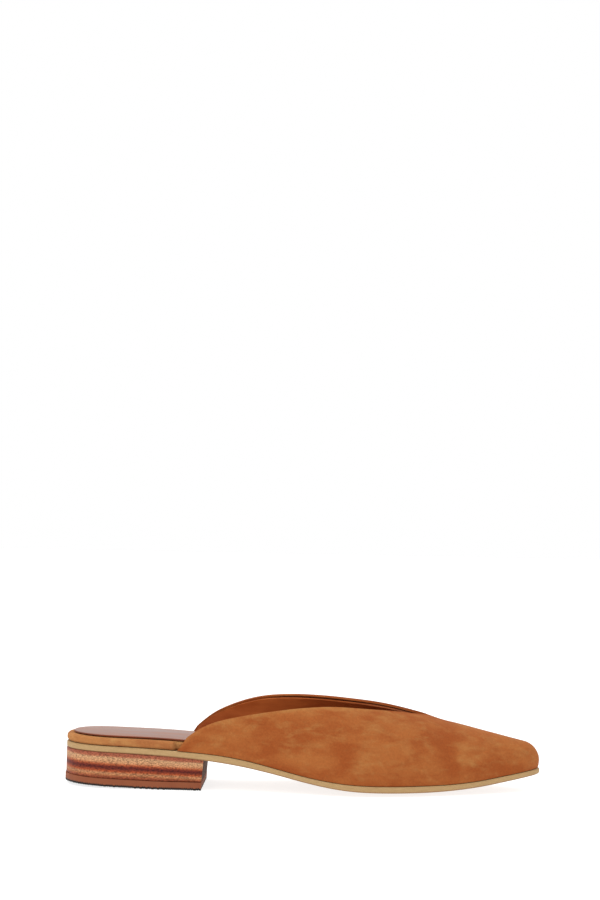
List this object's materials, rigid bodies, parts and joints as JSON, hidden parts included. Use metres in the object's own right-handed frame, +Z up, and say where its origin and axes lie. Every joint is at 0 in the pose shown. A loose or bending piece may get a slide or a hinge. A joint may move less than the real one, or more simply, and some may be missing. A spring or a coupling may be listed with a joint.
{
  "type": "mule shoe",
  "caption": "Pointed-toe suede mule with an open back, a U-shaped throat, a leather sock lining and a low stacked heel.",
  "frame": {"origin": "on the ground, under the middle of the shoe's box", "axes": "+X from heel to toe, +Y to the inner side of the foot, +Z up"},
  "size_m": [0.266, 0.078, 0.0499],
  "materials": {
    "suede": "brushed tan suede",
    "rim_suede": "brushed tan suede",
    "lining_leather": "smooth brown lining leather",
    "sole_leather": "natural vegetable-tanned sole leather",
    "heel_layers": "stacked layers, satin",
    "heel_rubber": "matt brown rubber"
  },
  "bodies": {
    "root": {"upper": "suede", "outsole": "sole_leather", "insole": "rim_suede", "sock_lining": "lining_leather", "heel_stack": "heel_layers", "heel_top_piece": "heel_rubber"}
  },
  "joints": []
}
